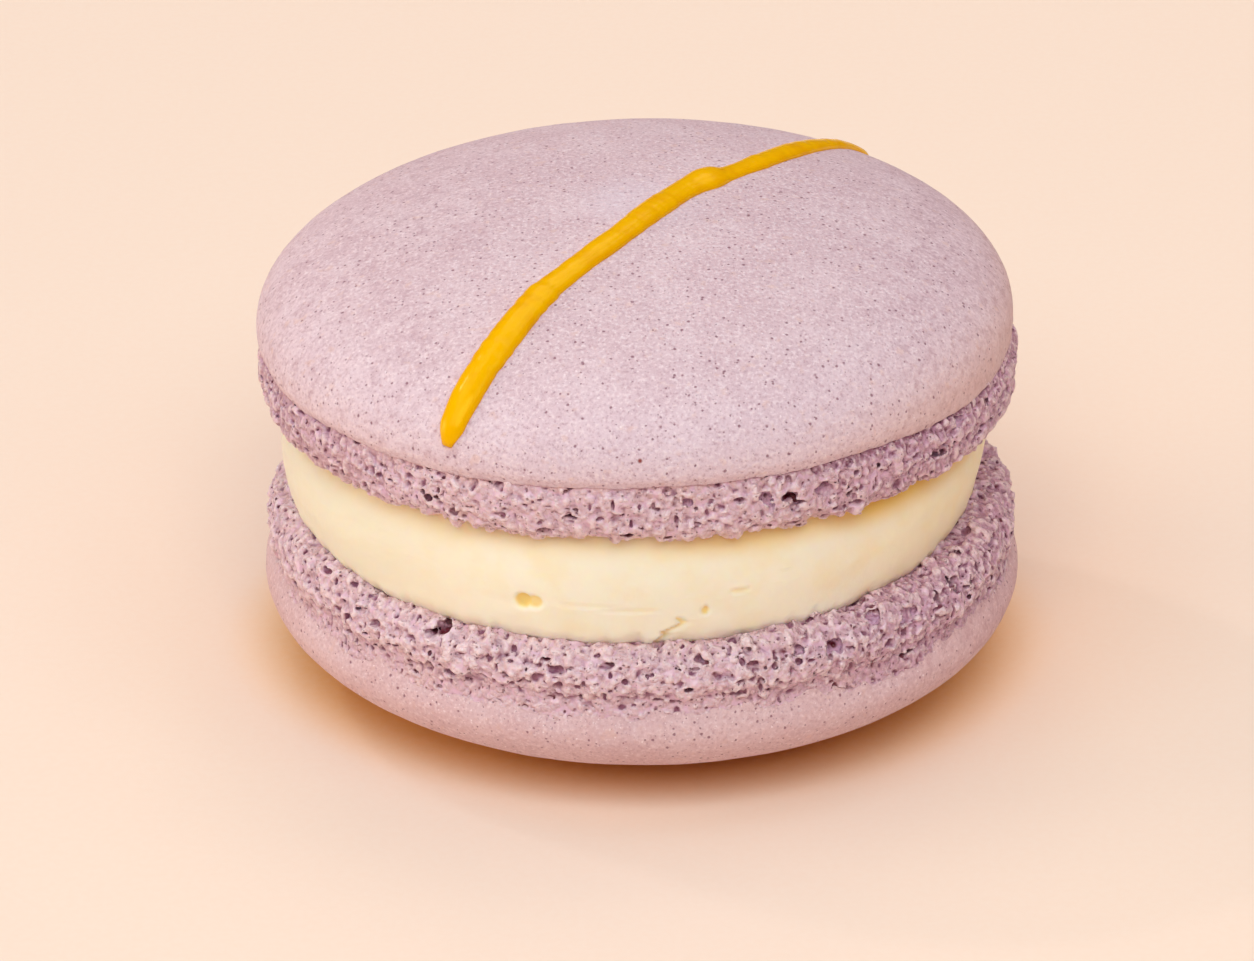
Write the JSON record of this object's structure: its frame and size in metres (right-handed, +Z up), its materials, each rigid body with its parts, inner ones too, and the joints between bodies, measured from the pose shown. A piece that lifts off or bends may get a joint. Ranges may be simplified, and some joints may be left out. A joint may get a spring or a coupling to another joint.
{
  "type": "french macaron",
  "caption": "French macaron: two smooth domed lavender meringue shells with ruffled feet, a thick pale buttercream band between them and one raised yellow icing line across the top.",
  "frame": {"origin": "centre of the bounding box's base, on the surface that the macaron rests on", "axes": "+Z up through the stack of shells; -Y is the near side of the reference view, +X its right"},
  "size_m": [0.0457, 0.0456, 0.0306],
  "materials": {
    "shell": "matte almond meringue crust, lavender with dark flecks",
    "filling": "smooth satin buttercream, pale cream",
    "icing": "glossy thick icing, golden yellow"
  },
  "bodies": {
    "root": {"bottom_shell": "shell", "filling": "filling", "top_shell": "shell"}
  },
  "joints": []
}
